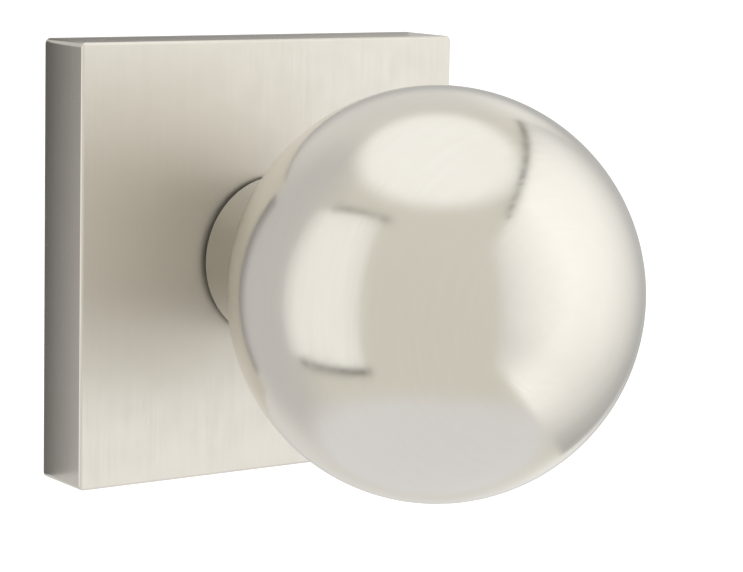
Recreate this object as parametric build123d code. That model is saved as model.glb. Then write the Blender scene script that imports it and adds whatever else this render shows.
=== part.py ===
from build123d import *
import os
from math import asin, cos, degrees, radians, sin, sqrt

# A passage door knob: a hollow ball on a short neck, turning in a square rosette that hides its fixings.
#
# Millimetres. The origin is the centre of the rosette's back, on the door's face and on the knob's axis.
# The knob projects towards -Y, the door is on the +Y side, X runs across the door and Z is up.
# A "reach" is a distance in front of the door's face: reach 10 lies at y = -10, and reach -10 in the door.
# A round piece is drawn as its half section, with x as the radius, and revolved about the Y axis.

# Rosette cover
rosette_width = 66.0
rosette_depth = 11.2
rosette_wall = 1.6
rosette_edge_radius = 0.45
rosette_corner_radius = 0.8
rosette_hole_radius = 11.3

# Ball and neck
ball_radius = 29.2
ball_wall = 1.3
ball_reach = 53.5
neck_radius = 12.4
neck_gap = 0.85
neck_edge_radius = 0.25
joining_ring_radius = 26.9
joining_ring_half_width = 3.0

# Shank and spindle
shank_radius = 8.0
shank_flat = 6.9
shank_front = 36.8
shank_back = -3.0
spindle_width = 8.0
spindle_front = 31.0
spindle_back = -50.0
grub_reach = 20.6
grub_radius = 2.5

# Mounting plate and what it carries
plate_width = 61.6
plate_back = 0.5
plate_front = 2.0
plate_hole_radius = 10.0
post_spacing = 38.0
post_radius = 3.5
post_length = 28.0
post_neck_radius = 2.5
post_thread_radius = 1.65
post_thread_depth = 12.0
clip_offset = 9.0
clip_width = 7.0
clip_thickness = 0.5
clip_rivet_height = 26.0
tab_width = 8.0
tab_thickness = 1.5
tab_height = 27.2
tab_front = 8.2
cover_grub_reach = 5.2
cover_grub_radius = 1.5

# Spring cage, rotor and return spring
cage_radius = 22.0
cage_wall = 1.0
cage_front = 9.3
cage_lug_reach = 27.4
cage_lug_width = 8.0
rivet_circle = 24.7
rivet_radius = 1.25
bushing_radius = 10.9
bushing_flange_radius = 13.2
bushing_front = 11.5
washer_radius = 12.1
rotor_radius = 12.5
rotor_front = 7.0
rotor_arm_radius = 19.6
rotor_arm_width = 7.0
rotor_arm_front = 3.4
finger_inner = 16.6
finger_outer = 18.0
finger_width = 5.5
anchor_inner = 18.6
spring_wire_radius = 0.7
spring_coil_radius = 15.3
spring_pitch = 1.5
spring_back = 4.5
spring_turns = 2
spring_leg_end = 20.3
turn_limit = 60.0
stop_pin_radius = 1.2
stop_pin_circle = 19.2

# Clearances
running = 0.03
slip = 0.05
stop_gap = 0.3

rosette_half = rosette_width / 2
neck_back = rosette_depth + neck_gap
inner_ball_radius = ball_radius - ball_wall
cage_inner = cage_radius - cage_wall
cage_inside = cage_front - cage_wall


def on_plane(reach):
    """The plane parallel to the door at a reach, drawn in X and Z, with its normal towards the user."""
    return Plane.XZ.offset(reach)


def slab(sketch, back, front):
    """A sketch in X and Z, extruded between two reaches."""
    return extrude(on_plane(back) * sketch, amount=front - back)


def ring(outer, inner, back, front):
    """A flat ring about the knob's axis."""
    return slab(Circle(outer) - Circle(inner), back, front)


def rod(radius, back, front, x=0.0, z=0.0):
    """A round rod parallel to the knob's axis."""
    return slab(Pos(x, z) * Circle(radius), back, front)


def block(width, low, high, back, front, x=0.0):
    """A box centred on x, between two heights and two reaches."""
    return slab(Pos(x, (low + high) / 2) * Rectangle(width, high - low), back, front)


def turned(section):
    """A half section revolved about the knob's axis."""
    return revolve(section, axis=Axis.Y)


def half_section(inner, outer, back, front):
    """A rectangle between two radii and two reaches."""
    return Pos((inner + outer) / 2, -(back + front) / 2) * Rectangle(outer - inner, front - back)


def ball_section(radius):
    """A disc of the ball's section, about the ball's centre."""
    return Pos(0, -ball_reach) * Circle(radius)


def around_axis(shape, angle):
    """A shape turned about the knob's axis, clockwise as the user sees it."""
    return Rot(0, angle, 0) * shape


def upright_rod(radius, low, high, reach):
    """A round rod along Z."""
    return Pos(0, -reach, (low + high) / 2) * Cylinder(radius, high - low)


def double_flat(radius, flat):
    """A circle with two flats, above and below."""
    return Circle(radius) & Rectangle(2 * radius, 2 * flat)


def ball_front_shell():
    wall = ball_section(ball_radius) - ball_section(inner_ball_radius)
    return turned(wall & half_section(0, ball_radius, ball_reach, ball_reach + ball_radius))


def ball_rear_shell():
    wall = ball_section(ball_radius) - ball_section(inner_ball_radius)
    rear = half_section(shank_radius + slip, ball_radius, ball_reach - ball_radius, ball_reach)
    return turned(wall & rear)


def joining_ring():
    """The band inside the ball that centres its two halves, under their brazed seam."""
    band = half_section(
        joining_ring_radius,
        inner_ball_radius,
        ball_reach - joining_ring_half_width,
        ball_reach + joining_ring_half_width,
    )
    return turned(band & ball_section(inner_ball_radius - slip))


def neck_sleeve():
    """The visible neck. Its front end is cupped to seat on the ball."""
    front = ball_reach - sqrt(ball_radius**2 - neck_radius**2) + 1
    section = half_section(shank_radius + slip, neck_radius, neck_back, front)
    rear_corner = section.vertices().sort_by(Axis.X)[-2:].sort_by(Axis.Y)[-1]
    section = fillet(rear_corner, neck_edge_radius)
    sleeve = turned(section - ball_section(ball_radius + 0.02))
    return sleeve - upright_rod(grub_radius, -neck_radius - 1, 0, grub_reach)


def dished_washer():
    """Spreads the nut's load over the inside of the ball's rear half."""
    front = ball_reach - sqrt(inner_ball_radius**2 - neck_radius**2) + 1
    section = half_section(shank_radius + slip, neck_radius, front - 4, front)
    return turned(section & ball_section(inner_ball_radius - 0.02))


def core_nut():
    """The nut inside the ball that clamps the rear half to the neck."""
    back = ball_reach - sqrt(inner_ball_radius**2 - neck_radius**2) + 1.02
    hexagon = RegularPolygon(12, 6, major_radius=False)
    return slab(hexagon - Circle(shank_radius + slip), back, back + 6)


def shank():
    """The tube that carries the knob: broached square for the spindle, with two flats for the rotor."""
    tube = slab(Circle(shank_radius), rotor_front + 0.1, shank_front)
    tube += slab(double_flat(shank_radius, shank_flat), shank_back, rotor_front + 0.1)
    tube = chamfer(tube.edges().group_by(Axis.Y)[0], 0.5)
    bore = Rectangle(spindle_width + 2 * slip, spindle_width + 2 * slip)
    tube -= slab(bore, shank_back, shank_front)
    tube -= ring(shank_radius + 1, shank_radius - 0.6, -1.9, -0.8)
    return tube - upright_rod(grub_radius, -shank_radius - 1, 0, grub_reach)


def spindle():
    bar = slab(Rectangle(spindle_width, spindle_width), spindle_back, spindle_front)
    ends = bar.faces().sort_by(Axis.Y)
    return chamfer(ends[0].edges() + ends[-1].edges(), 0.8)


def knob_grub_screw():
    """The socket screw under the neck. It locks the neck and shank to the spindle."""
    tip = spindle_width / 2 + 0.03
    head = neck_radius - 0.5
    screw = upright_rod(grub_radius - slip, -head, -tip, grub_reach)
    socket = Plane.XY.offset(-head) * Pos(0, -grub_reach) * RegularPolygon(1.25, 6, major_radius=False)
    return screw - extrude(socket, amount=2.5)


def thrust_washer():
    """Keeps the neck off the bushing. It is nearly as wide as the neck, so its edge shows as a thin line."""
    return ring(washer_radius, shank_radius + 0.1, bushing_front + slip, neck_back - slip)


def collar_bushing():
    """The flanged bearing in the cage's front wall. Its barrel ends just in front of the rosette."""
    flange = ring(bushing_flange_radius, shank_radius + running, cage_inside - 1, cage_inside)
    return flange + ring(bushing_radius, shank_radius + running, cage_inside, bushing_front)


def rotor():
    """Turns with the shank. Its arm meets the stop pins, and its finger pushes the spring's legs apart."""
    hub = slab(Circle(rotor_radius), plate_front + 0.3, rotor_front)
    hub += slab(Circle(plate_hole_radius - slip), plate_back + 0.2, plate_front + 0.3)
    hub += block(rotor_arm_width, 0, rotor_arm_radius, plate_front + 0.3, rotor_arm_front)
    hub += block(finger_width, finger_inner, finger_outer, rotor_arm_front, cage_inside - 0.4)
    flats = double_flat(shank_radius + slip, shank_flat + slip)
    return hub - slab(flats, plate_back, rotor_front)


def snap_ring():
    """The open retaining ring in the shank's groove."""
    body = ring(10.4, shank_radius - 0.6 + slip, -1.85, -0.85)
    body += rod(1.9, -1.85, -0.85, 4.6, -9.8)
    body += rod(1.9, -1.85, -0.85, -4.6, -9.8)
    body -= block(5.0, -14, 0, -1.85, -0.85)
    body -= rod(0.8, -1.85, -0.85, 4.6, -9.8)
    return body - rod(0.8, -1.85, -0.85, -4.6, -9.8)


def disc_spring():
    """The coned washer that takes up end play, between the snap ring and the mounting plate."""
    inner = shank_radius + 0.3
    outer = 12.6
    section = Polyline(
        (inner, 0.3),
        (inner, 0.8),
        (outer, 0.5 + slip - plate_back),
        (outer, slip - plate_back),
        close=True,
    )
    return turned(make_face(section))


def rosette_cover():
    """The square cover, open at the back, with a boss behind its lower wall for the grub screw."""
    outside = Box(rosette_width, rosette_depth, rosette_width)
    outside = Pos(0, -rosette_depth / 2, 0) * outside
    outside = fillet(outside.edges().filter_by(Axis.Y), rosette_corner_radius)
    front_rim = outside.faces().sort_by(Axis.Y)[0].edges()
    outside = fillet(front_rim, rosette_edge_radius)
    inside_width = rosette_width - 2 * rosette_wall
    cavity = slab(RectangleRounded(inside_width, inside_width, 0.8), 0, rosette_depth - rosette_wall)
    cover = outside - cavity
    cover -= rod(rosette_hole_radius, 0, rosette_depth)
    cover += block(9, -rosette_half + 1, -tab_height - 0.7, 2.6, rosette_depth - 1)
    return cover - upright_rod(cover_grub_radius, -rosette_half, 0, cover_grub_reach)


def rosette_grub_screw():
    """The socket screw in the rosette's lower edge. Its point enters the mounting plate's tab."""
    head = rosette_half - 0.3
    shoulder = 28.2
    screw = upright_rod(cover_grub_radius - 0.03, -head, -shoulder, cover_grub_reach)
    point = Pos(0, -cover_grub_reach, -shoulder + 0.8) * Cone(cover_grub_radius - 0.03, 0.5, 1.6)
    hexagon = RegularPolygon(0.75, 6, major_radius=False)
    socket = Plane.XY.offset(-head) * Pos(0, -cover_grub_reach) * hexagon
    return screw + point - extrude(socket, amount=1.5)


def rivet_places():
    """Where the four rivets hold the cage, on the diagonals."""
    half = rivet_circle / sqrt(2)
    return [(half, half), (-half, half), (-half, -half), (half, -half)]


def stop_pin_places():
    """Where the rotor's arm stops at either end of its turn."""
    arm_half = degrees(asin(rotor_arm_width / 2 / stop_pin_circle))
    pin_half = degrees(asin((stop_pin_radius + stop_gap) / stop_pin_circle))
    angle = radians(turn_limit + arm_half + pin_half)
    return [(side * stop_pin_circle * sin(angle), stop_pin_circle * cos(angle)) for side in (-1, 1)]


def mounting_plate():
    """The steel plate on the door's face. It carries the posts, the cage and the cover."""
    outline = RectangleRounded(plate_width, plate_width, 2)
    notch_low = -plate_width / 2 - 1
    notch = Pos(0, (notch_low - tab_height) / 2) * Rectangle(tab_width + 0.6, -tab_height - notch_low)
    plate = slab(outline - Circle(plate_hole_radius) - notch, plate_back, plate_front)
    plate += block(tab_width, -tab_height, -tab_height + tab_thickness, plate_front, tab_front)
    plate -= upright_rod(1.0, -tab_height - 1, -tab_height + tab_thickness + 1, cover_grub_reach)
    for side in (-1, 1):
        plate -= rod(post_neck_radius, plate_back, plate_front, 0, side * post_spacing / 2)
        plate -= rod(rivet_radius, plate_back, plate_front, side * clip_offset, clip_rivet_height)
    for x, z in rivet_places():
        plate -= rod(rivet_radius, plate_back, plate_front, x, z)
    for x, z in stop_pin_places():
        plate -= rod(stop_pin_radius, plate_back, plate_front, x, z)
    return plate


def backing_pad():
    """The thin foam frame between the mounting plate and the door."""
    outline = RectangleRounded(plate_width - 0.8, plate_width - 0.8, 2)
    return slab(outline - Circle(27.3), 0, plate_back)


def mounting_post(side):
    """A post that passes through the door and is tapped for a bolt from the other side."""
    z = side * post_spacing / 2
    back = plate_back - post_length
    post = rod(post_radius, back, plate_back, 0, z)
    post = chamfer(post.edges().sort_by(Axis.Y)[-1], 0.5)
    post += rod(post_neck_radius, plate_back, plate_front, 0, z)
    return post - rod(post_thread_radius, back, back + post_thread_depth, 0, z)


def spring_cage():
    """The drawn cup over the rotor and spring, with four riveted lugs and the spring's fixed anchor."""
    cup = ring(cage_radius, bushing_radius + 0.02, cage_inside, cage_front)
    cup = fillet(cup.edges().filter_by(GeomType.CIRCLE).group_by(Axis.Y)[0].sort_by(SortBy.RADIUS)[-1], 0.8)
    cup += ring(cage_radius, cage_inner, plate_front, cage_inside)
    lug = block(cage_lug_width, cage_inner + 0.3, cage_lug_reach, plate_front, plate_front + cage_wall)
    for x, z in rivet_places():
        angle = 45 if x * z > 0 else -45
        turned_lug = around_axis(lug if z > 0 else Rot(0, 180, 0) * lug, angle)
        cup += turned_lug - rod(rivet_radius, plate_front, plate_front + cage_wall, x, z)
    anchor_back = rotor_arm_front + 0.5
    return cup + block(finger_width, anchor_inner, cage_inner + 0.2, anchor_back, cage_inside)


def rivet(x, z, foot):
    """A round-headed rivet through the mounting plate, with its head at a reach of foot."""
    shaft = rod(rivet_radius, plate_back, foot, x, z)
    head = rod(2.2, foot, foot + 1.1, x, z)
    return shaft + fillet(head.edges().sort_by(Axis.Y)[0], 0.7)


def cage_rivets():
    return Compound([rivet(x, z, plate_front + cage_wall) for x, z in rivet_places()])


def stop_pins():
    return Compound([rod(stop_pin_radius, plate_back, 4.2, x, z) for x, z in stop_pin_places()])


def return_spring():
    """A two-turn torsion spring. Its legs stand on either side of the anchor and the rotor's finger."""
    leg_offset = finger_width / 2 + spring_wire_radius + slip
    gap_half_angle = degrees(asin(leg_offset / spring_coil_radius))
    coil_height = spring_pitch * (spring_turns - gap_half_angle / 180)
    path = Helix(spring_pitch, coil_height, spring_coil_radius)
    wire = Plane(path @ 0, z_dir=path % 0) * Circle(spring_wire_radius)
    coil = Rot(90, 0, 0) * sweep(wire, path=path)
    spring = Pos(0, -spring_back, 0) * around_axis(coil, -90 - gap_half_angle)
    leg_start = sqrt(spring_coil_radius**2 - leg_offset**2)
    for side, reach in ((-1, spring_back), (1, spring_back + coil_height)):
        spring += Pos(side * leg_offset, -reach, leg_start) * Sphere(spring_wire_radius)
        leg = Cylinder(spring_wire_radius, spring_leg_end - leg_start)
        spring += Pos(side * leg_offset, -reach, (leg_start + spring_leg_end) / 2) * leg
    return spring


def cover_clips():
    """Two leaf springs that bear against the inside of the cover's upper wall."""
    profile = Spline(
        (-2.25, 29.3),
        (-3.6, 30.6),
        (-5.6, rosette_half - rosette_wall - clip_thickness / 2 - slip),
        (-8.2, 30.2),
        tangents=((-0.1, 1.0), (-1.0, -1.0)),
    )
    foot = Line((-2.25, 23.2), (-2.25, 29.3))
    strip = trace([foot, profile], clip_thickness)
    clips = []
    for side in (-1, 1):
        leaf = extrude(Plane.YZ * strip, amount=clip_width / 2, both=True)
        hole = rod(rivet_radius, plate_front - 0.2, plate_front + 1, 0, clip_rivet_height)
        clips.append(Pos(side * clip_offset, 0, 0) * (leaf - hole))
    return Compound(clips)


def clip_rivets():
    foot = plate_front + clip_thickness
    return Compound([rivet(side * clip_offset, clip_rivet_height, foot) for side in (-1, 1)])


nodes = {
    "rosette_cover": rosette_cover(),
    "rosette_grub_screw": rosette_grub_screw(),
    "mounting_plate": mounting_plate(),
    "backing_pad": backing_pad(),
    "mounting_post_upper": mounting_post(1),
    "mounting_post_lower": mounting_post(-1),
    "cover_clips": cover_clips(),
    "clip_rivets": clip_rivets(),
    "spring_cage": spring_cage(),
    "cage_rivets": cage_rivets(),
    "collar_bushing": collar_bushing(),
    "stop_pins": stop_pins(),
    "return_spring": return_spring(),
    "ball_front_shell": ball_front_shell(),
    "ball_rear_shell": ball_rear_shell(),
    "joining_ring": joining_ring(),
    "neck_sleeve": neck_sleeve(),
    "dished_washer": dished_washer(),
    "core_nut": core_nut(),
    "shank": shank(),
    "thrust_washer": thrust_washer(),
    "knob_grub_screw": knob_grub_screw(),
    "rotor": rotor(),
    "disc_spring": disc_spring(),
    "snap_ring": snap_ring(),
    "spindle": spindle(),
}

os.makedirs("parts", exist_ok=True)
for name, shape in nodes.items():
    export_step(shape, f"parts/{name}.step")
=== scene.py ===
from math import asin, atan2, cos, degrees, pi, radians, sin, sqrt, tan

import bmesh
import bpy
from mathutils import Matrix, Quaternion, Vector


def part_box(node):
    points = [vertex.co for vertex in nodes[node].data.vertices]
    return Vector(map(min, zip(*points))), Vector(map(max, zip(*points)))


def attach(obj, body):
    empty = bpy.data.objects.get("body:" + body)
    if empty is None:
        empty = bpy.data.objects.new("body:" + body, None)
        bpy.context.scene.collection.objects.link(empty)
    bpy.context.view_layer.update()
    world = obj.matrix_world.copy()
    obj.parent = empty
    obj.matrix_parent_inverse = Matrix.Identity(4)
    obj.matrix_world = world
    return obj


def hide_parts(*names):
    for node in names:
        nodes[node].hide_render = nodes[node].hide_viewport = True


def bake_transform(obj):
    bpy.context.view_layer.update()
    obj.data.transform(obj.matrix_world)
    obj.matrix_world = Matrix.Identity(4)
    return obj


# A satin nickel door knob, seen from the front left. Metres, in the CAD frame: the knob's axis is Y, the
# user is on the -Y side, and a "reach" is a distance in front of the door's face, so reach 0.01 is y = -0.01.

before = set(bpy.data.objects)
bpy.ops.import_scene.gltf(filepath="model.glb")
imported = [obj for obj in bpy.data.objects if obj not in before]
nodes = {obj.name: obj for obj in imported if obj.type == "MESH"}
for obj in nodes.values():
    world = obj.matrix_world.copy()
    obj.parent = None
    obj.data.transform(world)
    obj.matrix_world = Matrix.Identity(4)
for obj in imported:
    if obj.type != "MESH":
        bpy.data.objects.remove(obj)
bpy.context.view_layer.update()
mm = 0.001

# Sizes that the frame gives
rosette_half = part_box("rosette_cover")[1].x
rosette_depth = -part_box("rosette_cover")[0].y
ball_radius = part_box("ball_front_shell")[1].x
ball_reach = -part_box("ball_front_shell")[1].y
ball_centre = Vector((0, -ball_reach, 0))
neck_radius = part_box("neck_sleeve")[1].x
neck_back = -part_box("neck_sleeve")[1].y
spindle_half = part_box("spindle")[1].x
post_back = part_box("mounting_post_upper")[1].y
post_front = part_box("mounting_post_upper")[0].y
post_centre = (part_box("mounting_post_upper")[0].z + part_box("mounting_post_upper")[1].z) / 2
post_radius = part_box("mounting_post_upper")[1].x

# Sizes that the pieces share, and small ones that the frame can't give
overshoot = 1 * mm
ball_wall = 1.3 * mm
shank_radius = 8.0 * mm
sleeve_bore = shank_radius + 0.05 * mm
seat_gap = 0.02 * mm
neck_edge = 0.25 * mm
neck_bore_edge = 0.3 * mm
rosette_wall = 1.6 * mm
rosette_edge = 0.45 * mm
rosette_corner = 0.8 * mm
rosette_inner_edge = 0.35 * mm
rosette_hole = 11.3 * mm
rosette_lip = 0.25 * mm
boss_half_width = 4.5 * mm
boss_height = 27.9 * mm
boss_back = 2.6 * mm
boss_edge = 0.4 * mm
cover_grub_reach = 5.2 * mm
cover_grub_radius = 1.5 * mm
cover_grub_shoulder = 28.2 * mm
knob_grub_reach = 20.6 * mm
knob_grub_radius = 2.5 * mm
grub_chamfer = 0.35 * mm
post_flange_reach = 0.5 * mm
post_neck_radius = 2.5 * mm
post_thread_radius = 1.65 * mm
post_thread_depth = 12.0 * mm
post_thread_pitch = 0.7 * mm
post_chamfer = 0.5 * mm
post_flange_chamfer = 0.15 * mm
post_neck_edge = 0.25 * mm
stake_mouth = 1.3 * mm
stake_floor = 0.9 * mm
stake_depth = 0.35 * mm
spindle_chamfer = 0.8 * mm
spindle_edge = 0.4 * mm
score_first = 8 * mm
score_step = 6 * mm
score_width = 0.5 * mm
score_depth = 0.25 * mm
wire_radius = 0.7 * mm
coil_radius = 15.3 * mm
coil_pitch = 1.5 * mm
coil_back = 4.5 * mm
leg_offset = 3.5 * mm
leg_end = 20.3 * mm
leg_ease = 0.15 * mm
leg_step = 0.4 * mm
eased_edge = 0.12 * mm


# ---------------------------------------------------------------- mesh helpers


def link(name, mesh):
    """A new object with this mesh."""
    piece = bpy.data.objects.new(name, mesh)
    bpy.context.scene.collection.objects.link(piece)
    return piece


def from_bmesh(name, bm):
    """A new object from a bmesh, with its faces turned outwards."""
    bmesh.ops.recalc_face_normals(bm, faces=bm.faces)
    mesh = bpy.data.meshes.new(name)
    bm.to_mesh(mesh)
    bm.free()
    return link(name, mesh)


def arc(radius_at, reach_at, radius, start, end, steps):
    """Points of a section on an arc, with angles in degrees from the outward direction towards the user."""
    angles = [radians(start + (end - start) * k / steps) for k in range(steps + 1)]
    return [(radius_at + radius * cos(a), reach_at + radius * sin(a)) for a in angles]


def rounded(corners, steps=5):
    """A closed section from corners (radius, reach, rounding), each corner rounded by that much."""
    outline = []
    for k, (x, y, size) in enumerate(corners):
        here = Vector((x, y))
        before = (Vector(corners[k - 1][:2]) - here).normalized()
        after = (Vector(corners[(k + 1) % len(corners)][:2]) - here).normalized()
        if size == 0:
            outline.append((x, y))
            continue
        half = before.angle(after) / 2
        centre = here + (before + after).normalized() * size / sin(half)
        first = (here + before * size / tan(half) - centre).normalized()
        last = (here + after * size / tan(half) - centre).normalized()
        for step in range(steps + 1):
            outline.append(tuple(centre + first.slerp(last, step / steps) * size))
    return outline


def turned(name, section, steps=128):
    """A closed section of (radius, reach) points, revolved about the knob's axis."""
    bm = bmesh.new()
    rings = []
    for radius, reach in section:
        if radius < 1e-7:
            rings.append([bm.verts.new((0, -reach, 0))] * steps)
            continue
        angles = [2 * pi * k / steps for k in range(steps)]
        rings.append([bm.verts.new((radius * sin(a), -reach, radius * cos(a))) for a in angles])
    for ring, following in zip(rings, rings[1:] + rings[:1]):
        for k in range(steps):
            corners = [ring[k], ring[(k + 1) % steps], following[(k + 1) % steps], following[k]]
            corners = list(dict.fromkeys(corners))
            if len(corners) > 2:
                bm.faces.new(corners)
    return from_bmesh(name, bm)


def box(name, low, high):
    """A box between two corners."""
    bm = bmesh.new()
    bmesh.ops.create_cube(bm, size=1)
    low, high = Vector(low), Vector(high)
    for vertex in bm.verts:
        vertex.co = [(low[i] + high[i]) / 2 + vertex.co[i] * (high[i] - low[i]) for i in range(3)]
    return from_bmesh(name, bm)


def run(edge):
    """How far an edge runs along the knob's axis."""
    return abs(edge.verts[0].co.y - edge.verts[1].co.y)


def at_front(edge, reach):
    """Whether an edge lies in the plane at this reach, or in front of it."""
    return all(vertex.co.y < -reach + 1e-6 for vertex in edge.verts)


def bevel(piece, size, steps, chosen):
    """Rounds the edges for which chosen(edge) is true."""
    bm = bmesh.new()
    bm.from_mesh(piece.data)
    edges = [e for e in bm.edges if chosen(e)]
    bmesh.ops.bevel(bm, geom=edges, offset=size, segments=steps, profile=0.5, affect="EDGES")
    bm.to_mesh(piece.data)
    bm.free()
    return piece


def apply_modifiers(piece):
    """Makes the piece's mesh what its modifiers show."""
    graph = bpy.context.evaluated_depsgraph_get()
    mesh = bpy.data.meshes.new_from_object(piece.evaluated_get(graph))
    piece.modifiers.clear()
    piece.data = mesh
    return piece


def combine(piece, other, operation):
    """A boolean of two pieces. The second one is used up."""
    modifier = piece.modifiers.new(operation, "BOOLEAN")
    modifier.operation = operation
    modifier.solver = "EXACT"
    modifier.object = other
    apply_modifiers(piece)
    bpy.data.objects.remove(other)
    return piece


def moved(piece, matrix):
    """The piece's mesh, moved."""
    piece.data.transform(matrix)
    if matrix.determinant() < 0:
        piece.data.flip_normals()
    return piece


def cut_thread(piece, radius, pitch, depth, start, end, tolerance=0.02 * mm):
    """Moves the vertices at this radius in and out along a helix, between two reaches."""
    for vertex in piece.data.vertices:
        x, y, z = vertex.co
        here = sqrt(x * x + z * z)
        if abs(here - radius) > tolerance or not start <= -y <= end:
            continue
        phase = (-y / pitch + atan2(x, z) / (2 * pi)) % 1
        ridge = 1 - abs(2 * phase - 1)
        fade = min(1.0, (-y - start) / pitch, (end + y) / pitch)
        scale = (here + depth * ridge * fade) / here
        vertex.co.x, vertex.co.z = x * scale, z * scale
    return piece


def shade(piece, angle=32):
    """Smooth shading that keeps real edges sharp and flat faces flat."""
    piece.data.shade_smooth()
    piece.data.set_sharp_from_angle(angle=radians(angle))
    flatten = piece.modifiers.new("flat_faces", "WEIGHTED_NORMAL")
    flatten.keep_sharp = True
    flatten.weight = 90
    return piece


def finished(piece, body, replaced, material):
    """Gives a piece its body and its material, and hides the CAD nodes that it stands for.

    A body of None leaves the piece without a body, as for the spring, which sits between two bodies."""
    piece.data.materials.clear()
    piece.data.materials.append(material)
    if body:
        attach(piece, body)
    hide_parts(*replaced)
    return piece


# ---------------------------------------------------------------- material helpers


class Shader:
    """A material's node tree, with short calls to add nodes."""

    def __init__(self, name, **sockets):
        self.material = bpy.data.materials.new(name)
        self.material.use_nodes = True
        self.tree = self.material.node_tree
        self.surface = self.tree.nodes["Principled BSDF"]
        for socket, value in sockets.items():
            self.surface.inputs[socket.replace("_", " ")].default_value = value
        self.place = self.add("ShaderNodeTexCoord").outputs["Object"]

    def add(self, kind, inputs=None, **settings):
        node = self.tree.nodes.new(kind)
        for key, value in settings.items():
            setattr(node, key, value)
        for key, value in (inputs or {}).items():
            if isinstance(value, bpy.types.NodeSocket):
                self.tree.links.new(value, node.inputs[key])
            else:
                node.inputs[key].default_value = value
        return node

    def connect(self, socket, value):
        self.tree.links.new(value, self.surface.inputs[socket])

    def math(self, operation, a, b=0.0):
        return self.add("ShaderNodeMath", {0: a, 1: b}, operation=operation).outputs[0]

    def stretched(self, scale, source=None):
        """The place, scaled by a different amount along each axis."""
        return self.add("ShaderNodeMapping", {"Vector": source or self.place, "Scale": scale}).outputs[0]

    def noise(self, scale, detail=3.0, source=None, roughness=0.55):
        inputs = {"Vector": source or self.place, "Scale": scale, "Detail": detail, "Roughness": roughness}
        return self.add("ShaderNodeTexNoise", inputs).outputs["Fac"]

    def cells(self, scale, source=None):
        return self.add("ShaderNodeTexVoronoi", {"Vector": source or self.place, "Scale": scale}).outputs[0]

    def between(self, fac, low, high, start=0.3, end=0.7):
        """A number that goes from low to high as fac goes from start to end."""
        inputs = {"Value": fac, "From Min": start, "From Max": end, "To Min": low, "To Max": high}
        return self.add("ShaderNodeMapRange", inputs, interpolation_type="SMOOTHSTEP").outputs[0]

    def colours(self, fac, *stops):
        """A colour ramp. Each stop is (position, (red, green, blue))."""
        ramp = self.add("ShaderNodeValToRGB", {"Fac": fac}).color_ramp
        while len(ramp.elements) < len(stops):
            ramp.elements.new(1.0)
        for element, (position, colour) in zip(ramp.elements, stops):
            element.position = position
            element.color = (*colour, 1)
        return self.tree.nodes[-1].outputs["Color"]

    def polar(self):
        """Radius about the knob's axis, reach, and angle, for marks that run round the axis."""
        part = self.add("ShaderNodeSeparateXYZ", {0: self.place})
        x, y, z = part.outputs
        radius = self.math("SQRT", self.math("ADD", self.math("POWER", x, 2.0), self.math("POWER", z, 2.0)))
        angle = self.math("ARCTAN2", x, z)
        return self.add("ShaderNodeCombineXYZ", {0: radius, 1: y, 2: angle}).outputs[0]

    def bump(self, height, distance, strength=1.0, normal=None):
        inputs = {"Height": height, "Distance": distance, "Strength": strength}
        if normal:
            inputs["Normal"] = normal
        return self.add("ShaderNodeBump", inputs).outputs[0]


def satin_nickel(name, lines, roughness, smear=0.0, depth=1.0):
    """Brushed and satin plated nickel. Lines says which way the fine brush marks run: round, or up.

    Smear is how far the marks draw reflections out sideways. A depth scales the colour: below 1 it is painted
    shade, and above 1 it is painted light."""
    shader = Shader(name, Metallic=1.0, Anisotropic=smear)
    if smear:
        tangent = shader.add("ShaderNodeTangent", direction_type="RADIAL", axis="Z")
        shader.connect("Tangent", tangent.outputs[0])
    if lines == "round":
        grain = shader.stretched((5200, 5200, 4), shader.polar())
        hairs = shader.stretched((1500, 1500, 2.2), shader.polar())
    else:
        grain = shader.stretched((5200, 5200, 90))
        hairs = shader.stretched((1500, 1500, 22))
    fine = shader.noise(1.0, 2.0, grain)
    coarse = shader.noise(1.0, 3.0, hairs)
    cloud = shader.noise(38.0, 4.0)
    wear = shader.noise(260.0, 5.0)
    tints = [(0.36, (0.715, 0.684, 0.628)), (0.52, (0.730, 0.700, 0.645)), (0.68, (0.742, 0.714, 0.661))]
    stops = [(place, tuple(channel * depth for channel in tint)) for place, tint in tints]
    blend = shader.math("ADD", shader.math("MULTIPLY", coarse, 0.3), shader.math("MULTIPLY", cloud, 0.7))
    shader.connect("Base Color", shader.colours(blend, *stops))
    rough = shader.between(fine, roughness - 0.025, roughness + 0.025)
    worn = shader.between(wear, -0.012, 0.018, 0.35, 0.7)
    shader.connect("Roughness", shader.math("ADD", rough, worn))
    first = shader.bump(fine, 0.0006 * mm)
    shader.connect("Normal", shader.bump(coarse, 0.0003 * mm, normal=first))
    return shader.material


def zinc_plate():
    """Bright zinc on pressed steel: a cold white metal with a faint crystal mottle and rolling marks."""
    shader = Shader("zinc_plated_steel", Metallic=1.0)
    spangle = shader.cells(900.0)
    cloud = shader.noise(120.0, 5.0)
    rolled = shader.noise(1.0, 3.0, shader.stretched((140, 140, 2600)))
    blend = shader.math("ADD", shader.math("MULTIPLY", spangle, 0.35), shader.math("MULTIPLY", cloud, 0.65))
    light, mid, dark = (0.70, 0.70, 0.66), (0.60, 0.615, 0.62), (0.46, 0.47, 0.47)
    shader.connect("Base Color", shader.colours(blend, (0.25, dark), (0.5, mid), (0.8, light)))
    shader.connect("Roughness", shader.between(cloud, 0.26, 0.42))
    first = shader.bump(rolled, 0.004 * mm)
    shader.connect("Normal", shader.bump(spangle, 0.003 * mm, normal=first))
    return shader.material


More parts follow.
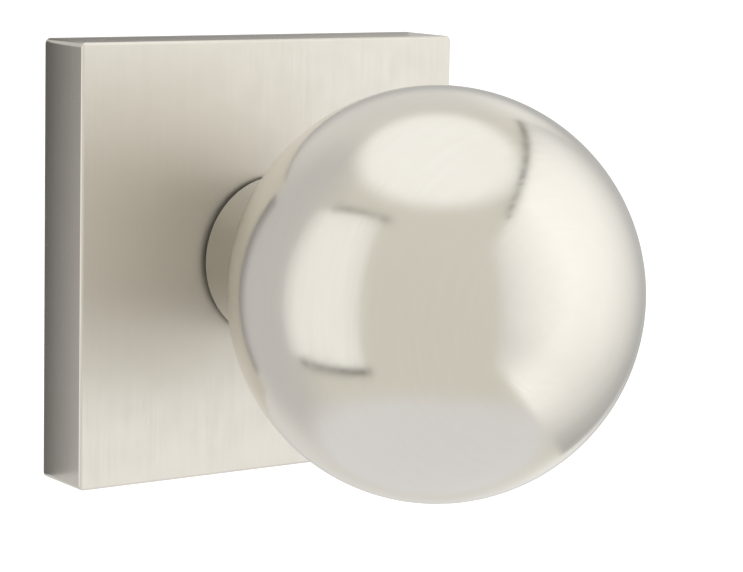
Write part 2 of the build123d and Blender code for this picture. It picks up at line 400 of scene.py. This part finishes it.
def turned_metal(name, lathe_marks, mottle, low, high, *stops):
    """A turned metal: fine rings round the axis, and a film of oil or tarnish between two roughnesses."""
    shader = Shader(name, Metallic=1.0)
    rings = shader.noise(1.0, 2.0, shader.stretched(lathe_marks, shader.polar()))
    cloud = shader.noise(mottle, 5.0)
    shader.connect("Base Color", shader.colours(cloud, *stops))
    shader.connect("Roughness", shader.between(cloud, low, high))
    shader.connect("Normal", shader.bump(rings, 0.006 * mm))
    return shader.material


def turned_steel():
    """Plain steel with a thin film of oil."""
    light, mid, dark = (0.62, 0.61, 0.60), (0.55, 0.54, 0.52), (0.40, 0.385, 0.365)
    stops = [(0.3, dark), (0.55, mid), (0.8, light)]
    return turned_metal("plain_steel", (2400, 4200, 2), 90.0, 0.22, 0.38, *stops)


def black_oxide():
    """The blackened steel of screws and hardened pins, rubbed brighter here and there."""
    shader = Shader("dark_screw_steel", Metallic=1.0)
    cloud = shader.noise(700.0, 5.0)
    rubbed, mid, dark = (0.24, 0.23, 0.22), (0.09, 0.09, 0.095), (0.045, 0.045, 0.05)
    shader.connect("Base Color", shader.colours(cloud, (0.35, dark), (0.6, mid), (0.85, rubbed)))
    shader.connect("Roughness", shader.between(cloud, 0.32, 0.5))
    shader.connect("Normal", shader.bump(shader.noise(2600.0, 2.0), 0.004 * mm))
    return shader.material


def spring_steel():
    """Hardened and tempered strip and wire, blue grey with straw coloured patches and drawn lines."""
    shader = Shader("spring_steel", Metallic=1.0)
    cloud = shader.noise(150.0, 4.0)
    drawn = shader.noise(1.0, 2.0, shader.stretched((3000, 300, 3000)))
    straw, grey, blue = (0.42, 0.38, 0.31), (0.33, 0.34, 0.36), (0.20, 0.215, 0.25)
    shader.connect("Base Color", shader.colours(cloud, (0.3, blue), (0.55, grey), (0.8, straw)))
    shader.connect("Roughness", shader.between(drawn, 0.24, 0.36))
    shader.connect("Normal", shader.bump(drawn, 0.003 * mm))
    return shader.material


def sintered_steel():
    """Pressed and sintered iron: dull, dark and finely pitted."""
    shader = Shader("sintered_steel", Metallic=1.0)
    grains = shader.cells(3600.0)
    pores = shader.between(shader.noise(2100.0, 4.0), 0.0, 1.0, 0.36, 0.5)
    cloud = shader.noise(240.0, 4.0)
    light, mid, dark = (0.32, 0.31, 0.30), (0.25, 0.245, 0.24), (0.17, 0.165, 0.16)
    shader.connect("Base Color", shader.colours(cloud, (0.3, dark), (0.55, mid), (0.8, light)))
    shader.connect("Roughness", shader.between(grains, 0.48, 0.66, 0.1, 0.8))
    first = shader.bump(grains, 0.01 * mm)
    shader.connect("Normal", shader.bump(pores, 0.02 * mm, normal=first))
    return shader.material


def bronze():
    """An oil filled bronze bearing, brown gold."""
    light, mid, dark = (0.62, 0.40, 0.21), (0.52, 0.30, 0.14), (0.33, 0.17, 0.07)
    stops = [(0.3, dark), (0.55, mid), (0.8, light)]
    return turned_metal("bronze", (3000, 3000, 2), 220.0, 0.3, 0.46, *stops)


def raw_brass():
    """Brass as it came from the lathe, with brazing tarnish."""
    light, mid, dark = (0.80, 0.62, 0.31), (0.72, 0.51, 0.22), (0.42, 0.27, 0.10)
    stops = [(0.3, dark), (0.55, mid), (0.8, light)]
    return turned_metal("raw_brass", (2600, 2600, 2), 130.0, 0.26, 0.44, *stops)


def nylon():
    """Black moulded nylon with a faint grain."""
    shader = Shader("nylon", Roughness=0.48)
    cloud = shader.noise(300.0, 3.0)
    light, dark = (0.032, 0.030, 0.028), (0.016, 0.015, 0.014)
    shader.connect("Base Color", shader.colours(cloud, (0.3, dark), (0.7, light)))
    shader.connect("Normal", shader.bump(shader.noise(2400.0, 3.0), 0.006 * mm))
    return shader.material


def foam():
    """Closed cell foam, charcoal, with small skinned cells."""
    shader = Shader("foam_rubber", Metallic=0.0)
    cells = shader.cells(1500.0)
    cloud = shader.noise(400.0, 4.0)
    light, dark = (0.060, 0.058, 0.056), (0.022, 0.022, 0.024)
    shader.connect("Base Color", shader.colours(cloud, (0.3, dark), (0.7, light)))
    shader.connect("Roughness", shader.between(cells, 0.75, 0.95, 0.1, 0.8))
    first = shader.bump(cells, 0.12 * mm)
    shader.connect("Normal", shader.bump(cloud, 0.05 * mm, normal=first))
    return shader.material


nickel_round = satin_nickel("satin_nickel_ball", "round", 0.165)
# Painted shade: the neck's nickel is the ball's nickel darkened to 0.7, for the shade between the ball and
# the rosette.
nickel_neck_painted_shade = satin_nickel("satin_nickel_neck_painted_shade", "round", 0.2, depth=0.7)
# Painted light: the rosette's nickel is the ball's nickel lightened by 1.08.
nickel_flat_painted_light = satin_nickel("satin_nickel_rosette", "up", 0.42, smear=0.75, depth=1.08)
nickel_edge = satin_nickel("satin_nickel_rosette_edge", "up", 0.24)
zinc = zinc_plate()
steel = turned_steel()
black = black_oxide()
spring = spring_steel()
sintered = sintered_steel()
bronze_metal = bronze()
brass = raw_brass()
nylon_plastic = nylon()
foam_rubber = foam()

# ---------------------------------------------------------------- the ball and its neck


def exact_ball_normals(shell, inner, outer):
    """Sets the shell's curved faces to the normals of true spheres, so that no facet or seam shows."""
    mesh = shell.data
    normals = [Vector(corner.vector) for corner in mesh.corner_normals]
    for face in mesh.polygons:
        spoke = face.center - ball_centre
        outward = spoke.normalized().dot(face.normal)
        if abs(outward) < 0.99 or not inner * 0.99 < spoke.length < outer * 1.01:
            continue
        for index in face.loop_indices:
            here = mesh.vertices[mesh.loops[index].vertex_index].co - ball_centre
            normals[index] = here.normalized() * (1 if outward > 0 else -1)
    mesh.normals_split_custom_set(normals)


def ball_shell(name, side, bore, node):
    """Half of the hollow ball. Side 1 is the user's half, and bore is the radius of the hole at its pole."""
    inner = ball_radius - ball_wall
    steps = 72
    outer_end = 90 - degrees(asin(bore / ball_radius))
    inner_end = 90 - degrees(asin(bore / inner))
    section = arc(0, ball_reach, ball_radius, 0, side * outer_end, steps)
    section += arc(0, ball_reach, inner, side * inner_end, 0, steps)
    if bore == 0:
        section = [(0 if abs(r) < 1e-7 else r, reach) for r, reach in section]
    shell = turned(name, section, 256)
    shell.data.shade_smooth()
    shell.data.set_sharp_from_angle(angle=radians(40))
    exact_ball_normals(shell, inner, ball_radius)
    return finished(shell, "knob", [node], nickel_round)


def hanging(reach):
    """Turns a piece's user's side to point down, with its axis at this reach."""
    return Matrix.Translation((0, -reach, 0)) @ Matrix.Rotation(radians(90), 4, "X")


def drill_hole(piece, radius, reach, start, mouth, chamfer):
    """Drills a hole up into a piece's underside. Start and mouth are its ends' distances below the axis."""
    end = mouth + overshoot
    flare = radius + chamfer
    section = [(0, start), (radius, start), (radius, mouth - chamfer), (flare, mouth), (flare, end), (0, end)]
    combine(piece, moved(turned("hole", section, 48), hanging(reach)), "DIFFERENCE")


def neck_sleeve():
    """The neck, with a rounded rear rim, a cupped seat for the ball and a hole below for its grub screw."""
    seat = ball_radius + seat_gap
    seat_at_bore = ball_reach - sqrt(seat**2 - sleeve_bore**2)
    seat_start = degrees(asin(neck_radius / seat))
    seat_end = degrees(asin(sleeve_bore / seat))
    back = rounded(
        [
            (sleeve_bore, seat_at_bore, 0),
            (sleeve_bore, neck_back, neck_bore_edge),
            (neck_radius, neck_back, neck_edge),
            (neck_radius, ball_reach - sqrt(seat**2 - neck_radius**2), 0),
        ],
        8,
    )
    front = arc(0, ball_reach, seat, seat_start - 90, seat_end - 90, 16)[1:-1]
    sleeve = turned("neck_sleeve_piece", back + front, 192)
    drill_hole(sleeve, knob_grub_radius, knob_grub_reach, start=7 * mm, mouth=neck_radius, chamfer=0.3 * mm)
    return finished(shade(sleeve), "knob", ["neck_sleeve"], nickel_neck_painted_shade)


def hexagon_socket(across, start, end):
    """A hexagonal cutter along the knob's axis."""
    corner = across / sqrt(3)
    return turned("socket", [(0, start), (corner, start), (corner, end), (0, end)], 6)


def grub_screw(name, radius, pitch, head, tip, point, across, depth):
    """A socket screw along the knob's axis: a cut thread, a chamfered head with its hexagon, and a point."""
    steps = int((head - tip) / pitch * 8)
    low, high = tip + grub_chamfer, head - grub_chamfer
    narrow = radius - grub_chamfer
    section = [(0, tip - point), (point * 0.25, tip - point), (narrow, tip)]
    section += [(radius, low + (head - tip - 2 * grub_chamfer) * k / steps) for k in range(steps + 1)]
    section += [(narrow, head), (0, head)]
    screw = turned(name, section, 48)
    cut_thread(screw, radius, pitch, -0.54 * pitch, low, high)
    return combine(screw, hexagon_socket(across, head - depth, head + overshoot), "DIFFERENCE")


def knob_grub():
    """The flat ended M5 screw under the neck."""
    low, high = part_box("knob_grub_screw")
    across = depth = 2.5 * mm
    screw = grub_screw("knob_grub_piece", high.x, 0.8 * mm, -low.z, -high.z, 0, across, depth)
    moved(screw, hanging(knob_grub_reach))
    return finished(shade(screw), "knob", ["knob_grub_screw"], black)


ball_shell("ball_front_piece", 1, 0, "ball_front_shell")
ball_shell("ball_rear_piece", -1, sleeve_bore, "ball_rear_shell")
neck_sleeve()
knob_grub()

# ---------------------------------------------------------------- the rosette


def rosette_cover():
    """The square cover: rounded outside, hollow behind, with a rolled lip round its hole."""
    half = rosette_half
    cover = box("rosette_cover_piece", (-half, -rosette_depth, -half), (half, 0, half))
    bevel(cover, rosette_corner, 8, lambda edge: run(edge) > rosette_depth / 2)
    bevel(cover, rosette_edge, 8, lambda edge: at_front(edge, rosette_depth))
    inside = half - rosette_wall
    floor_reach = rosette_depth - rosette_wall
    cavity = box("cavity", (-inside, -floor_reach, -inside), (inside, overshoot, inside))
    bevel(cavity, rosette_corner, 6, lambda edge: run(edge) > rosette_depth / 2)
    bevel(cavity, rosette_inner_edge, 4, lambda edge: at_front(edge, floor_reach))
    combine(cover, cavity, "DIFFERENCE")
    lip_radius = rosette_hole + rosette_lip
    hole = [(0, -overshoot), (rosette_hole, -overshoot)]
    hole += arc(lip_radius, rosette_depth - rosette_lip, rosette_lip, 180, 90, 6)
    hole += [(lip_radius, rosette_depth + overshoot), (0, rosette_depth + overshoot)]
    combine(cover, turned("hole", hole, 160), "DIFFERENCE")
    boss = box(
        "boss",
        (-boss_half_width, -(rosette_depth - overshoot), -half + overshoot),
        (boss_half_width, -boss_back, -boss_height),
    )
    combine(cover, bevel(boss, boss_edge, 3, lambda edge: True), "UNION")
    drill_hole(cover, cover_grub_radius, cover_grub_reach, start=20 * mm, mouth=half, chamfer=0.2 * mm)
    finished(shade(cover), "rosette", ["rosette_cover"], nickel_flat_painted_light)
    cover.data.materials.append(nickel_edge)
    for face in cover.data.polygons:
        if abs(face.normal.y) < 0.5:
            face.material_index = 1


def rosette_grub():
    """The pointed M3 screw in the rosette's lower edge."""
    low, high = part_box("rosette_grub_screw")
    across = depth = 1.5 * mm
    point = 0.8 * mm
    screw = grub_screw(
        "rosette_grub_piece", high.x, 0.5 * mm, -low.z, cover_grub_shoulder, point, across, depth
    )
    moved(screw, hanging(cover_grub_reach))
    return finished(shade(screw), "rosette", ["rosette_grub_screw"], black)


rosette_cover()
rosette_grub()

# ---------------------------------------------------------------- the posts, the spindle and the spring


def mounting_post(name, side):
    """A post with a chamfered end, tapped from the back, and staked over in front of the mounting plate."""
    end = -post_back
    bottom = end + post_thread_depth
    turns = round(post_thread_depth / post_thread_pitch * 10)
    bore = [(post_thread_radius, bottom + (end - bottom) * k / turns) for k in range(turns + 1)]
    front = -post_front
    shoulder = front - post_neck_edge
    section = [(0, bottom)] + bore
    section += [(post_radius - post_chamfer, end), (post_radius, end + post_chamfer)]
    section += [(post_radius, post_flange_reach - post_flange_chamfer)]
    section += [(post_radius - post_flange_chamfer, post_flange_reach)]
    section += [(post_neck_radius, post_flange_reach), (post_neck_radius, shoulder)]
    section += arc(post_neck_radius - post_neck_edge, shoulder, post_neck_edge, 0, 90, 4)[1:]
    section += [(stake_mouth, front), (stake_floor, front - stake_depth), (0, front - stake_depth)]
    post = turned(name, section, 64)
    cut_thread(post, post_thread_radius, post_thread_pitch, 0.36 * mm, end, bottom - 0.6 * mm)
    moved(post, Matrix.Translation((0, 0, side * post_centre)))
    node = "mounting_post_upper" if side > 0 else "mounting_post_lower"
    return finished(shade(post), "rosette", [node], zinc)


def spindle_bar():
    """The square bar, with eased long edges, chamfered ends and a light score where it may be cut."""
    low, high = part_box("spindle")
    bar = box("spindle_piece", low, high)
    bevel(bar, spindle_chamfer, 1, lambda edge: run(edge) < 1e-6)
    bevel(bar, spindle_edge, 4, lambda edge: run(edge) > (high.y - low.y) / 2)
    outside = spindle_half + overshoot
    bottom = spindle_half - score_depth
    for k in range(3):
        y = high.y - score_first - score_step * k
        for side in (-1, 1):
            score = box("score", (side * outside, y, -outside), (side * bottom, y + score_width, outside))
            combine(bar, score, "DIFFERENCE")
    return finished(shade(bar), "knob", ["spindle"], steel)


def swept_wire(name, path, radius, steps=16):
    """A round wire along a path of points, with eased ends."""
    count = len(path)
    tangents = [(path[min(k + 1, count - 1)] - path[max(k - 1, 0)]).normalized() for k in range(count)]
    across = tangents[0].orthogonal().normalized()
    rings = []
    bm = bmesh.new()
    for k, (point, tangent) in enumerate(zip(path, tangents)):
        if k:
            across = (tangents[k - 1].rotation_difference(tangent) @ across).normalized()
        other = tangent.cross(across)
        angles = [2 * pi * step / steps for step in range(steps)]
        size = radius * (0.75 if k in (0, count - 1) else 1)
        rings.append([bm.verts.new(point + (across * cos(a) + other * sin(a)) * size) for a in angles])
    for ring, following in zip(rings, rings[1:]):
        for k in range(steps):
            bm.faces.new([ring[k], ring[(k + 1) % steps], following[(k + 1) % steps], following[k]])
    bm.faces.new(rings[0])
    bm.faces.new(rings[-1])
    return from_bmesh(name, bm)


def return_spring():
    """One bent wire: a leg, two turns round the rotor, and a leg."""
    gap = asin(leg_offset / coil_radius)
    sweep = 4 * pi - 2 * gap
    rise = coil_pitch * sweep / (2 * pi)
    bend = radians(7)
    start = coil_radius * cos(gap)
    leg = [start + 1.0 * mm + leg_step * k for k in range(4)] + [leg_end - leg_ease, leg_end]
    path = [Vector((-leg_offset, -coil_back, z)) for z in reversed(leg)]
    steps = 160
    for k in range(steps + 1):
        turn = bend + (sweep - 2 * bend) * k / steps
        angle = gap + turn
        reach = coil_back + rise * turn / sweep
        path.append(Vector((-coil_radius * sin(angle), -reach, coil_radius * cos(angle))))
    path += [Vector((leg_offset, -(coil_back + rise), z)) for z in leg]
    wire = swept_wire("return_spring_piece", path, wire_radius)
    finished(shade(wire, 60), None, ["return_spring"], spring)
    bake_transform(wire)


mounting_post("mounting_post_upper_piece", 1)
mounting_post("mounting_post_lower_piece", -1)
spindle_bar()
return_spring()

# ---------------------------------------------------------------- the CAD nodes that stay, and their metals


def ease_edges(piece, size):
    """Takes the sharpness off a CAD node's edges with modifiers, so that they catch the light."""
    weld = piece.modifiers.new("weld", "WELD")
    weld.merge_threshold = 0.001 * mm
    flats = piece.modifiers.new("flats", "DECIMATE")
    flats.decimate_type = "DISSOLVE"
    flats.angle_limit = radians(0.4)
    eased = piece.modifiers.new("eased", "BEVEL")
    eased.width = size
    eased.segments = 2
    eased.limit_method = "ANGLE"
    eased.angle_limit = radians(35)
    smooth = piece.modifiers.new("flat_faces", "WEIGHTED_NORMAL")
    smooth.keep_sharp = True
    smooth.weight = 90


kept = {
    "mounting_plate": zinc,
    "backing_pad": foam_rubber,
    "cover_clips": spring,
    "clip_rivets": zinc,
    "spring_cage": zinc,
    "cage_rivets": zinc,
    "collar_bushing": bronze_metal,
    "stop_pins": black,
    "joining_ring": brass,
    "dished_washer": steel,
    "core_nut": zinc,
    "shank": steel,
    "thrust_washer": nylon_plastic,
    "rotor": sintered,
    "disc_spring": spring,
    "snap_ring": spring,
}

for name, material in kept.items():
    nodes[name].data.materials.clear()
    nodes[name].data.materials.append(material)
    ease_edges(nodes[name], eased_edge)

# ---------------------------------------------------------------- the studio

room_distance = 1.1
floor_height = -0.15


def emitter(name, colour, strength):
    """A plain light emitting material for the studio's panels."""
    material = bpy.data.materials.new(name)
    material.use_nodes = True
    tree = material.node_tree
    tree.nodes.clear()
    glow = tree.nodes.new("ShaderNodeEmission")
    glow.inputs["Color"].default_value = (*colour, 1)
    glow.inputs["Strength"].default_value = strength
    output = tree.nodes.new("ShaderNodeOutputMaterial")
    tree.links.new(glow.outputs[0], output.inputs["Surface"])
    return material


def fade(material, along, *stops):
    """Makes a panel's light vary along X, its width, or Y, its height. A stop is (place, share of light)."""
    tree = material.node_tree
    glow = tree.nodes["Emission"]
    place = tree.nodes.new("ShaderNodeUVMap")
    across = tree.nodes.new("ShaderNodeSeparateXYZ")
    curve = tree.nodes.new("ShaderNodeValToRGB")
    product = tree.nodes.new("ShaderNodeVectorMath")
    product.operation = "MULTIPLY"
    if glow.inputs["Color"].is_linked:
        tree.links.new(glow.inputs["Color"].links[0].from_socket, product.inputs[0])
    else:
        product.inputs[0].default_value = glow.inputs["Color"].default_value[:3]
    while len(curve.color_ramp.elements) < len(stops):
        curve.color_ramp.elements.new(1.0)
    for element, (position, share) in zip(curve.color_ramp.elements, stops):
        element.position = position
        element.color = (share, share, share, 1)
    tree.links.new(place.outputs["UV"], across.inputs[0])
    tree.links.new(across.outputs[along], curve.inputs["Fac"])
    tree.links.new(curve.outputs["Color"], product.inputs[1])
    tree.links.new(product.outputs[0], glow.inputs["Color"])


def panel(name, facing, azimuths, elevations, material, distance=room_distance, upper_end=1.0):
    """A flat upright panel square to the azimuth facing, seen from the ball between these angles.

    An upper_end below 1 cuts short the fade across the width, more and more towards the top."""
    a = radians(facing)
    outward = Vector((sin(a), -cos(a), 0))
    across = Vector((cos(a), sin(a), 0))
    bm = bmesh.new()
    uv = bm.loops.layers.uv.new("across")
    left, right = [distance * tan(radians(az - facing)) for az in azimuths]
    low, high = [distance * tan(radians(el)) for el in elevations]
    places = [(left, low, 0, 0), (right, low, 1, 0), (right, high, upper_end, 1), (left, high, 0, 1)]
    middle = ball_centre + outward * distance
    face = bm.faces.new([bm.verts.new(middle + across * u + Vector((0, 0, w))) for u, w, _, _ in places])
    for loop, (_, _, s, t) in zip(face.loops, places):
        loop[uv].uv = (s, t)
    mesh = bpy.data.meshes.new(name)
    bm.to_mesh(mesh)
    bm.free()
    sheet = link(name, mesh)
    sheet.data.materials.append(material)
    sheet.visible_camera = False


def softboxes():
    """A broad panel on the right, a tall one on the left, and their dark frames."""
    right = emitter("right_panel_light", (1.0, 1.0, 0.985), 1.32)
    across = [(0.0, 0.67), (0.16, 0.83), (0.3, 1.0), (0.44, 0.92), (0.55, 0.76), (0.7, 0.52), (0.86, 0.4)]
    fade(right, "X", *across)
    fade(right, "Y", (0.0, 1.02), (0.26, 0.94), (0.42, 1.0), (1.0, 1.02))
    panel("right_panel", 62, (-2, 120), (-50, 54.5), right, upper_end=0.65)
    left = emitter("left_panel_light", (1.0, 1.0, 0.98), 1.15)
    fade(left, "X", (0.0, 0.72), (0.3, 0.97), (0.8, 1.0), (1.0, 0.9))
    panel("left_panel", -80, (-126, -77), (-32, 44), left)
    dark = emitter("frame_dark", (1.0, 0.97, 0.9), 0.12)
    nearer = room_distance * 0.99
    panel("right_frame_top", 62, (15, 120), (54.1, 56.5), dark, nearer)
    panel("left_frame_top", -80, (-116, -70), (44, 46.2), dark, nearer)
    panel("left_frame_bottom", -80, (-120, -74), (-35, -31.6), dark, nearer)


def card(name, corners, material):
    """A small card behind the rosette that only mirrors see. Corners are (x, z, place across, place up)."""
    bm = bmesh.new()
    uv = bm.loops.layers.uv.new("across")
    face = bm.faces.new([bm.verts.new((x, 0.4 * mm, z)) for x, z, _, _ in corners])
    for loop, (_, _, s, t) in zip(face.loops, corners):
        loop[uv].uv = (s, t)
    sheet = from_bmesh(name, bm)
    sheet.data.materials.append(material)
    sheet.visible_camera = False
    sheet.visible_diffuse = False


def edge_cards():
    """Graded cards just behind the rosette, which darken the back of its left side and its upper side."""
    half = rosette_half
    near = half + 0.2 * mm
    far = half + 11 * mm
    top = half + 6 * mm
    left = emitter("left_card", (0.62, 0.60, 0.59), 1.0)
    fade(left, "X", (0.0, 1.0), (0.4, 0.74), (0.8, 0.42), (1.0, 0.24))
    fade(left, "Y", (0.0, 1.15), (1.0, 0.84))
    corners = [(-far, -half, 0, 0), (-near, -half, 1, 0), (-near, half, 1, 1), (-far, half, 0, 1)]
    card("left_card", corners, left)
    upper = emitter("upper_card", (0.37, 0.355, 0.345), 1.0)
    fade(upper, "X", (0.0, 0.7), (1.0, 1.25))
    fade(upper, "Y", (0.0, 0.85), (0.4, 0.95), (1.0, 1.5))
    corners = [(-half, near, 0, 0), (half, near, 1, 0), (half, top, 1, 1), (-half, top, 0, 1)]
    card("upper_card", corners, upper)


def sky_mix(tree, fac, first, second):
    """A mix of two colours, each a socket or a plain colour. They go into the node's sockets 6 and 7."""
    node = tree.nodes.new("ShaderNodeMix")
    node.data_type = "RGBA"
    tree.links.new(fac, node.inputs["Factor"])
    for socket, value in zip((6, 7), (first, second)):
        if isinstance(value, tuple):
            node.inputs[socket].default_value = (*value, 1)
        else:
            tree.links.new(value, node.inputs[socket])
    return node.outputs[2]


def smooth_step(tree, value, start, end):
    """A number that goes from 0 to 1 as the value goes from start to end."""
    node = tree.nodes.new("ShaderNodeMapRange")
    node.interpolation_type = "SMOOTHSTEP"
    tree.links.new(value, node.inputs["Value"])
    node.inputs["From Min"].default_value = start
    node.inputs["From Max"].default_value = end
    return node.outputs[0]


def studio_room():
    """The room round the object: a light ceiling and floor, a warm grey front and a darker back.

    The camera sees plain white behind the object."""
    world = bpy.data.worlds.new("studio")
    bpy.context.scene.world = world
    world.use_nodes = True
    tree = world.node_tree
    tree.nodes.clear()
    place = tree.nodes.new("ShaderNodeTexCoord")
    direction = tree.nodes.new("ShaderNodeSeparateXYZ")
    tree.links.new(place.outputs["Generated"], direction.inputs[0])
    behind = smooth_step(tree, direction.outputs["Y"], 0.1, 0.7)
    height = tree.nodes.new("ShaderNodeMath")
    height.operation = "ABSOLUTE"
    tree.links.new(direction.outputs["Z"], height.inputs[0])
    steep = smooth_step(tree, height.outputs[0], 0.2, 0.5)
    rightwards = smooth_step(tree, direction.outputs["X"], 0.5, 0.8)
    corner = sky_mix(tree, rightwards, (0.64, 0.63, 0.61), (0.86, 0.86, 0.85))
    back_right = sky_mix(tree, steep, (0.41, 0.405, 0.40), corner)
    leftwards = smooth_step(tree, direction.outputs["X"], 0.1, -0.4)
    back_wall = sky_mix(tree, leftwards, back_right, (0.52, 0.51, 0.505))
    walls = sky_mix(tree, behind, (0.63, 0.62, 0.565), back_wall)
    above = smooth_step(tree, direction.outputs["Z"], sin(radians(52)), sin(radians(62)))
    upper = sky_mix(tree, above, walls, (0.92, 0.925, 0.915))
    below = smooth_step(tree, direction.outputs["Z"], sin(radians(-42)), sin(radians(-55)))
    room = sky_mix(tree, below, upper, (0.68, 0.68, 0.70))
    seen = tree.nodes.new("ShaderNodeLightPath")
    colour = sky_mix(tree, seen.outputs["Is Camera Ray"], room, (0.80, 0.80, 0.80))
    background = tree.nodes.new("ShaderNodeBackground")
    background.inputs["Strength"].default_value = 1.3
    tree.links.new(colour, background.inputs["Color"])
    output = tree.nodes.new("ShaderNodeOutputWorld")
    tree.links.new(background.outputs[0], output.inputs["Surface"])


def floor():
    """A plain pale floor well below the object."""
    bm = bmesh.new()
    bmesh.ops.create_circle(bm, cap_ends=True, radius=12, segments=64)
    surface = from_bmesh("floor", bm)
    surface.location.z = floor_height
    material = bpy.data.materials.new("pale_floor")
    material.use_nodes = True
    paint = material.node_tree.nodes["Principled BSDF"]
    paint.inputs["Base Color"].default_value = (0.93, 0.93, 0.93, 1)
    paint.inputs["Roughness"].default_value = 0.9
    paint.inputs["Emission Color"].default_value = (1, 1, 1, 1)
    paint.inputs["Emission Strength"].default_value = 0.3
    surface.data.materials.append(material)
    surface.visible_glossy = False


def camera():
    """A view from the left, a little above, with a long lens."""
    azimuth, elevation, roll = radians(-35.14), radians(8.6), radians(1.3)
    distance = 0.408
    aim = Vector((0.0104, -0.0230, -0.0037))
    back = Vector((sin(azimuth) * cos(elevation), -cos(azimuth) * cos(elevation), sin(elevation)))
    data = bpy.data.cameras.new("camera")
    data.lens = 130.7
    data.sensor_width = 36
    data.clip_start = 0.01
    eye = bpy.data.objects.new("camera", data)
    eye.location = aim + back * distance
    eye.rotation_mode = "QUATERNION"
    eye.rotation_quaternion = (-back).to_track_quat("-Z", "Y") @ Quaternion((0, 0, 1), roll)
    bpy.context.scene.collection.objects.link(eye)
    bpy.context.scene.camera = eye


softboxes()
edge_cards()
studio_room()
floor()
camera()
bpy.context.scene.view_settings.view_transform = "Standard"
